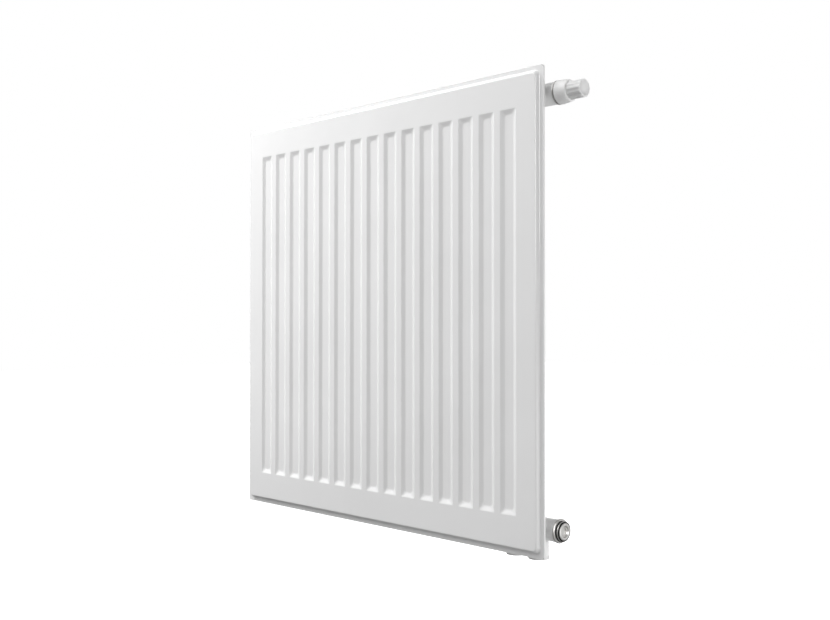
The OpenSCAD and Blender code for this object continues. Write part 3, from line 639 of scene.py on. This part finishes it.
# EPDM rubber: black with a dry bloom, and a matt moulded skin
rubber, rubber_place = new_finish("epdm_rubber")
rubber_bloom = add_node(rubber, "ShaderNodeTexNoise", {"Scale": 220, "Detail": 4, "Roughness": 0.6},
                        {"Vector": (rubber_place, "Object")})
rubber_colour = add_node(rubber, "ShaderNodeMix", {"A": linear("#0D0D0D"), "B": linear("#191919")},
                         {"Factor": (rubber_bloom, "Fac")}, data_type="RGBA")
rubber_gloss = add_node(rubber, "ShaderNodeMapRange", {"To Min": 0.38, "To Max": 0.6},
                        {"Value": (rubber_bloom, "Fac")})
rubber_bump = add_node(rubber, "ShaderNodeBump", {"Strength": 0.25, "Distance": 0.02 * MM},
                       {"Height": (rubber_bloom, "Fac")})
rubber_shader = add_node(rubber, "ShaderNodeBsdfPrincipled", {"IOR": 1.5, "Specular IOR Level": 0.25}, {
    "Base Color": (rubber_colour, "Result"), "Roughness": (rubber_gloss, "Result"),
    "Normal": (rubber_bump, "Normal")})
add_node(rubber, "ShaderNodeOutputMaterial", links={"Surface": (rubber_shader, "BSDF")})

set_finish(nickel, "valve_body")
set_finish(brass, "gland_nut", "valve_disc", "cap_thrust_pad")
set_finish(stainless, "valve_spindle", "valve_spring")
set_finish(rubber, "valve_nose_seal", "valve_ring_seal", "gland_seal", "valve_disc_seal")


# ---- Protective cap ----
# Injection-moulded ABS, screwed over the insert: a tapered base, a small shoulder and a fluted grip for the
# fingers. It pushes the valve's pin through a brass pad in its hub.
CAP_SHOULDER_R = 13.5
CAP_BASE_L = 16.1
CAP_WALL = 1.9
GRIP_R = 11.3
FLUTE_COUNT = 12
FLUTE_R = 4
FLUTE_DEPTH = 0.6
FLUTE_START = 8
FLUTE_RUN_IN = 2.5
HUB_R = 6.4
PAD_BORE_R = 4.05
PAD_STEM_L = 9
CAP_BORE_R = 11.05
CAP_STEPS = 192

cap_low, cap_high = box_mm("valve_cap")
neck_end = box_mm("valve_body")[1].x
pad_end = box_mm("cap_thrust_pad")[1].x
hub_x = pad_end - PAD_STEM_L
cap_base_r = (cap_high.z - cap_low.z) / 2
grip_x = cap_low.x + CAP_BASE_L
cap = turned([
    (cap_low.x, CAP_BORE_R + 0.5, 0.15), (cap_low.x, cap_base_r - 0.1, 0.6),
    (cap_low.x + 2.2, cap_base_r, 0.3), (cap_low.x + 9, cap_base_r - 0.55, 0),
    (grip_x - 1.6, CAP_SHOULDER_R + 0.05, 0),
    (grip_x, CAP_SHOULDER_R - 0.35, 0.5), (grip_x, GRIP_R + 0.25, 0), (grip_x + 0.4, GRIP_R, 0),
    (grip_x + 3, GRIP_R, 0), (cap_high.x - 1.2, GRIP_R, 0), (cap_high.x - 0.35, GRIP_R - 0.35, 0),
    (cap_high.x, GRIP_R - 1.2, 0), (cap_high.x, GRIP_R - 2, 0), (cap_high.x - 0.25, GRIP_R - 2.6, 0),
    (cap_high.x - 0.25, 0, 0), (pad_end, 0, 0), (pad_end, PAD_BORE_R, 0), (hub_x, PAD_BORE_R, 0),
    (hub_x, HUB_R, 0),
    (cap_high.x - CAP_WALL, HUB_R, 0), (cap_high.x - CAP_WALL, GRIP_R - CAP_WALL, 0),
    (grip_x - CAP_WALL, GRIP_R - CAP_WALL, 0), (grip_x - CAP_WALL, CAP_BORE_R - 1.2, 0),
    (neck_end + 0.5, CAP_BORE_R - 1.2, 0), (neck_end + 0.5, CAP_BORE_R, 0)], steps=CAP_STEPS)
bmesh.ops.rotate(cap, matrix=Matrix.Rotation(math.radians(FLUTE_START), 3, "X"), verts=cap.verts)
flute_centre = GRIP_R - FLUTE_DEPTH + FLUTE_R
flute_pitch = 2 * math.pi / FLUTE_COUNT
for vertex in cap.verts:
    radius = vertex.co.yz.length
    if vertex.co.x < grip_x + 0.3 or radius < GRIP_R - 1.3:
        continue
    turn = math.atan2(vertex.co.z, vertex.co.y) % flute_pitch - flute_pitch / 2
    reach = FLUTE_R * FLUTE_R - (flute_centre * math.sin(turn)) ** 2
    if reach > 0:
        cut_r = flute_centre * math.cos(turn) - math.sqrt(reach)
        # Each flute runs out where the grip meets the shoulder
        run_in = min((vertex.co.x - grip_x) / FLUTE_RUN_IN, 1)
        depth = max(GRIP_R - cut_r, 0) * run_in
        vertex.co.yz = vertex.co.yz * ((radius - depth) / radius)
bmesh.ops.translate(cap, vec=(0, 0, high_z), verts=cap.verts)

# White ABS: near-white and faintly warm, with the fine even grain of a spark-eroded mould
abs_white, abs_place = new_finish("white_abs")
abs_grain = add_node(abs_white, "ShaderNodeTexNoise", {"Scale": 2200, "Detail": 2},
                     {"Vector": (abs_place, "Object")})
abs_flow = add_node(abs_white, "ShaderNodeTexNoise", {"Scale": 60, "Detail": 2},
                    {"Vector": (abs_place, "Object")})
abs_colour = add_node(abs_white, "ShaderNodeMix", {"A": linear("#F8F8F7"), "B": linear("#F3F3F2")},
                      {"Factor": (abs_flow, "Fac")}, data_type="RGBA")
abs_gloss = add_node(abs_white, "ShaderNodeMapRange", {"To Min": 0.4, "To Max": 0.55},
                     {"Value": (abs_flow, "Fac")})
abs_bump = add_node(abs_white, "ShaderNodeBump", {"Strength": 0.2, "Distance": 0.01 * MM},
                    {"Height": (abs_grain, "Fac")})
# Light goes a few millimetres into it, which softens the shade on its underside
abs_shader = add_node(abs_white, "ShaderNodeBsdfPrincipled", {
    "IOR": 1.54, "Subsurface Weight": 1, "Subsurface Radius": (1, 1, 1), "Subsurface Scale": 7 * MM}, {
    "Base Color": (abs_colour, "Result"), "Roughness": (abs_gloss, "Result"), "Normal": (abs_bump, "Normal")})
add_node(abs_white, "ShaderNodeOutputMaterial", links={"Surface": (abs_shader, "BSDF")})
make_piece("screw_cap", cap, "cap", "white_plastic", abs_white, "valve_cap")


# ---- Return side plug ----
# Turned brass, nickel plated, screwed into the return boss: a collar, two grooves for round seals with a rib
# between them, a rounded lip, and a recess with a six-sided key socket.
COLLAR_T = 2.8
PLUG_RECESS_R = 7.15
PLUG_RECESS_L = 2.4
KEY_W = 10
KEY_L = 6
RETURN_KEY_L = 1.2
PLUG_BORE_L = 12
SEAL_STEPS = 96


def key_socket(bm, rim_x, across, depth, inward):
    """Closes an open round rim with a flat that has a six-sided socket in it."""
    rim = [e for e in bm.edges if e.is_boundary]
    key = bmesh.new()
    bmesh.ops.create_circle(key, segments=6, radius=across / math.sqrt(3), cap_ends=False)
    bmesh.ops.subdivide_edges(key, edges=key.edges[:], cuts=len(rim) // 6 - 1)
    bmesh.ops.rotate(key, matrix=Matrix.Rotation(math.pi / 2, 3, "Y"), verts=key.verts)
    bmesh.ops.translate(key, vec=(rim_x, 0, 0), verts=key.verts)
    add_to(bm, key)
    rim = [e for e in bm.edges if e.is_boundary]
    key_edges = [e for e in bm.edges if e.is_wire]
    bmesh.ops.bridge_loops(bm, edges=rim + key_edges)
    sunk = bmesh.ops.extrude_edge_only(bm, edges=key_edges)["geom"]
    floor_verts = [g for g in sunk if isinstance(g, bmesh.types.BMVert)]
    bmesh.ops.translate(bm, vec=(inward * depth, 0, 0), verts=floor_verts)
    floor_edges = [g for g in sunk if isinstance(g, bmesh.types.BMEdge) and g.is_boundary]
    bmesh.ops.contextual_create(bm, geom=floor_edges)
    bmesh.ops.recalc_face_normals(bm, faces=bm.faces)


def open_turned(rows, steps=72):
    """Like turned, but the first and last rows stay open as round rims."""
    bm = bmesh.new()
    corners = [bm.verts.new((x, 0, radius)) for x, radius, _ in rows]
    for here, there in zip(corners, corners[1:]):
        bm.edges.new((here, there))
    spin_about_x(bm, steps)
    round_rings(bm, rows)
    return bm


def round_seal(name, node):
    """A round rubber seal that fills the box of its CAD node."""
    low, high = box_mm(node)
    wire = (high.x - low.x) / 2
    ring_r = (high.z - low.z) / 2 - wire
    bm = bmesh.new()
    bmesh.ops.create_circle(bm, segments=20, radius=wire, cap_ends=False)
    bmesh.ops.rotate(bm, matrix=Matrix.Rotation(math.pi / 2, 3, "X"), verts=bm.verts)
    bmesh.ops.translate(bm, vec=(0, 0, ring_r), verts=bm.verts)
    spin_about_x(bm, SEAL_STEPS)
    bmesh.ops.recalc_face_normals(bm, faces=bm.faces)
    bmesh.ops.translate(bm, vec=((low.x + high.x) / 2, 0, (low.z + high.z) / 2), verts=bm.verts)
    make_piece(name, bm, "panel", "seal_rubber", rubber, node)


plug_low, plug_high = box_mm("return_plug")
inner_low, inner_high = box_mm("return_plug_inner_seal")
outer_low, outer_high = box_mm("return_plug_outer_seal")
boss_face = box_mm("return_boss")[1].x
collar_r = (plug_high.z - plug_low.z) / 2
inner_bed_r = (inner_high.z - inner_low.z) / 2 - (inner_high.x - inner_low.x)
outer_bed_r = (outer_high.z - outer_low.z) / 2 - (outer_high.x - outer_low.x)
rib_r = (inner_high.z - inner_low.z) / 2 - 0.5
lip_r = (outer_high.z - outer_low.z) / 2 - 1.1
plug = open_turned([
    (plug_low.x + PLUG_BORE_L, WATERWAY_R, 0), (plug_low.x, WATERWAY_R, 0), (plug_low.x, THREAD_R - 0.6, 0),
    (plug_low.x + 1, THREAD_R - 0.05, 0), (boss_face, THREAD_R - 0.05, 0), (boss_face, collar_r - 0.1, 0.2),
    (boss_face + 0.4, collar_r, 0), (boss_face + COLLAR_T - 0.8, collar_r, 0.5),
    (boss_face + COLLAR_T, collar_r - 0.8, 0.3), (boss_face + COLLAR_T, inner_bed_r, 0),
    (inner_high.x, inner_bed_r, 0), (inner_high.x, rib_r, 0.25), (outer_low.x, rib_r - 0.15, 0.25),
    (outer_low.x, outer_bed_r, 0), (outer_high.x, outer_bed_r, 0), (outer_high.x, lip_r - 0.4, 0.1),
    (plug_high.x, lip_r - 1.3, 0.3), (plug_high.x, PLUG_RECESS_R, 0.25),
    (plug_high.x - PLUG_RECESS_L, PLUG_RECESS_R - 0.8, 0.3),
    (plug_high.x - PLUG_RECESS_L, PLUG_RECESS_R - 1.1, 0)])
back_rim = [e for e in plug.edges if e.is_boundary and e.verts[0].co.x < boss_face]
bmesh.ops.contextual_create(plug, geom=back_rim)
# This socket is kept shallow, so that the recess stays light
key_socket(plug, plug_high.x - PLUG_RECESS_L, KEY_W, RETURN_KEY_L, -1)
bmesh.ops.translate(plug, vec=(0, 0, low_z), verts=plug.verts)
make_piece("return_side_plug", plug, "panel", "nickel_plate", nickel, "return_plug", sharp=40)
round_seal("return_plug_seal_inner", "return_plug_inner_seal")
round_seal("return_plug_seal_outer", "return_plug_outer_seal")


# ---- Far-side plugs and air vent ----
# The far bosses take nickelled brass plugs with a seal under the collar. The bottom one is blank, with a key
# socket. The top one holds a square-headed bleed screw and a moulded spout that swivels round it.
BLEED_HEAD_W = 5
BLEED_HEAD_L = 3.5
SPOUT_R = 1.95
SPOUT_BORE_R = 1.2
STEM_R = 5.05

blank_low, blank_high = box_mm("blank_plug")
far_face = box_mm("blank_boss")[0].x
far_collar_r = (blank_high.z - blank_low.z) / 2
blank = open_turned([
    (blank_high.x, 0.01, 0), (blank_high.x, THREAD_R - 0.6, 0), (blank_high.x - 1, THREAD_R - 0.05, 0),
    (far_face - 0.3, THREAD_R - 0.05, 0), (far_face - 0.3, far_collar_r - 0.4, 0.2),
    (blank_low.x + 0.5, far_collar_r, 0.4), (blank_low.x, far_collar_r - 0.6, 0.3), (blank_low.x, 7.4, 0.3),
    (blank_low.x + 0.4, 7, 0)])
tip_rim = [e for e in blank.edges if e.is_boundary and e.verts[0].co.x > far_face]
bmesh.ops.contextual_create(blank, geom=tip_rim)
key_socket(blank, blank_low.x + 0.4, KEY_W, KEY_L, 1)
bmesh.ops.translate(blank, vec=(0, 0, low_z), verts=blank.verts)
make_piece("blank_end_plug", blank, "panel", "nickel_plate", nickel, "blank_plug", sharp=40)
round_seal("blank_plug_ring", "blank_plug_seal")

set_finish(nickel, "vent_plug")
round_seal("vent_plug_ring", "vent_plug_seal")

bleed_low, bleed_high = box_mm("bleed_screw")
head = bmesh.new()
bmesh.ops.create_cube(head, size=BLEED_HEAD_W)
bmesh.ops.scale(head, vec=(BLEED_HEAD_L / BLEED_HEAD_W, 1, 1), verts=head.verts)
bmesh.ops.translate(head, vec=(bleed_low.x + BLEED_HEAD_L / 2, 0, high_z), verts=head.verts)
outer_corners = [v for v in head.verts if v.co.x < bleed_low.x + 0.1]
bmesh.ops.bevel(head, geom=outer_corners, affect="VERTICES", offset=0.9, offset_type="OFFSET", segments=1,
                profile=0.5, material=-1)
bmesh.ops.bevel(head, geom=head.edges[:], affect="EDGES", offset=0.2, offset_type="OFFSET", segments=2,
                profile=0.5, material=-1)
shank_x = bleed_low.x + BLEED_HEAD_L - 0.1
turned([(shank_x, 0, 0), (shank_x, 2.5, 0), (bleed_high.x - 1.4, 2.5, 0), (bleed_high.x, 1, 0),
        (bleed_high.x, 0, 0)], Matrix.Translation((0, 0, high_z)), 32, into=head)
make_piece("bleed_key_screw", head, "bleed", "stainless", stainless, "bleed_screw", sharp=40)

outlet_low, outlet_high = box_mm("vent_outlet")
ring_r = outlet_high.z - high_z
outlet = turned([
    (outlet_low.x, STEM_R, 0), (outlet_low.x, ring_r - 0.4, 0.6), (outlet_low.x + 0.5, ring_r, 0.4),
    (outlet_high.x - 0.5, ring_r, 0.4), (outlet_high.x, ring_r - 0.4, 0.4), (outlet_high.x, STEM_R, 0)],
    Matrix.Translation((0, 0, high_z)), 64)
spout_x = (outlet_low.x + outlet_high.x) / 2
spout_l = high_z - ring_r - outlet_low.z + 0.6
turned([(0, SPOUT_BORE_R, 0.1), (0, SPOUT_R, 0.3), (spout_l, SPOUT_R, 0), (spout_l, SPOUT_BORE_R, 0)],
       facing(UP, (spout_x, 0, outlet_low.z)), 32, into=outlet)
make_piece("vent_spout", outlet, "vent_swivel", "white_plastic", abs_white, "vent_outlet", sharp=40)


# ---- Floor, lights and camera ----
# A plain white floor well below the radiator, an even white surround and eight soft lights. The key light is
# large and stands high in front on the left. The weaker ones lift the top, the two sides, the fittings from
# behind and below, the back, and the edges.
FLOOR_DROP = 0.45
FLOOR_SIZE = 30
CAMERA_RIGHT = 1.0454
CAMERA_BACK = 0.9618
CAMERA_DROP = 0.017
CAMERA_TURN = 44.96
CAMERA_TILT = 0.864
LENS = 43.5
SENSOR_W = 36
SURROUND_FILL = 0.24

floor_mesh = bmesh.new()
bmesh.ops.create_grid(floor_mesh, x_segments=1, y_segments=1, size=FLOOR_SIZE / 2)
bmesh.ops.translate(floor_mesh, vec=(0, 0, -FLOOR_DROP), verts=floor_mesh.verts)
floor_data = bpy.data.meshes.new("floor")
floor_mesh.to_mesh(floor_data)
floor_mesh.free()
floor_white, _ = new_finish("white_floor")
floor_glow = add_node(floor_white, "ShaderNodeBsdfPrincipled", {
    "Base Color": linear("#FFFFFF"), "Roughness": 0.9, "Specular IOR Level": 0.0,
    "Emission Color": linear("#FFFFFF"), "Emission Strength": 1.0})
add_node(floor_white, "ShaderNodeOutputMaterial", links={"Surface": (floor_glow, "BSDF")})
floor_data.materials.append(floor_white)
floor = bpy.data.objects.new("floor", floor_data)
bpy.context.scene.collection.objects.link(floor)
# The floor shows white, but throws no light up onto the radiator
floor.visible_diffuse = False
floor.visible_glossy = False

centre = PANEL_MID * MM
centre.y = FACE_Y * MM


def soft_light(name, offset, target, size, watts):
    """A square soft light, placed from the middle of the radiator's face and turned to a point there."""
    data = bpy.data.lights.new(name, "AREA")
    data.shape = "SQUARE"
    data.size = size
    data.energy = watts
    light = bpy.data.objects.new(name, data)
    light.location = centre + Vector(offset)
    aim = centre + Vector(target) - light.location
    light.rotation_euler = aim.to_track_quat("-Z", "Y").to_euler()
    light.visible_camera = False
    bpy.context.scene.collection.objects.link(light)
    return light


soft_light("key_light", (-0.943, -1.442, 2.135), (0.03, -0.98, -0.01), 2.2, 73)
soft_light("top_light", (-1.074, -0.585, 1.135), (-0.878, -0.5, -0.35), 0.5, 15)
soft_light("left_light", (-1.5, -0.8, 0.2), (0, 0, 0), 1.2, 3)
soft_light("right_light", (1.6, -0.6, 0.2), (0, 0, 0), 1.2, 3)
soft_light("back_light", (1.3, 1.0, 0.1), (0.3, 0, 0), 1.5, 7.2)
soft_light("low_light", (1.2, 0.1, -0.4), (0.33, 0.03, 0.15), 0.9, 5)
soft_light("rear_light", (-0.9, 1.9, 0.5), (0, 0, 0), 1.5, 16)
# This one only draws a fine line along the rounded edges of the press step, as a distant strip light does
edge_light = soft_light("edge_light", (1.3, -1.7, 0.6), (0.3, 0, 0.1), 0.9, 45)
edge_light.visible_diffuse = False

world = bpy.data.worlds.new("white_surround")
bpy.context.scene.world = world
world.use_nodes = True
world.node_tree.nodes.clear()
path_kind = add_node(world, "ShaderNodeLightPath")
# The camera sees it pure white, but it lights the radiator only faintly
surround = add_node(world, "ShaderNodeMapRange", {"To Min": SURROUND_FILL, "To Max": 1.0},
                    {"Value": (path_kind, "Is Camera Ray")})
backdrop = add_node(world, "ShaderNodeBackground", {"Color": (1, 1, 1, 1)},
                    {"Strength": (surround, "Result")})
add_node(world, "ShaderNodeOutputWorld", links={"Surface": (backdrop, "Background")})

camera_data = bpy.data.cameras.new("camera")
camera_data.lens = LENS
camera_data.sensor_width = SENSOR_W
camera = bpy.data.objects.new("camera", camera_data)
camera.location = centre + Vector((CAMERA_RIGHT, -CAMERA_BACK, -CAMERA_DROP))
camera.rotation_euler = (math.radians(90 + CAMERA_TILT), 0, math.radians(CAMERA_TURN))
bpy.context.scene.collection.objects.link(camera)
bpy.context.scene.camera = camera
bpy.context.scene.view_settings.view_transform = "Standard"
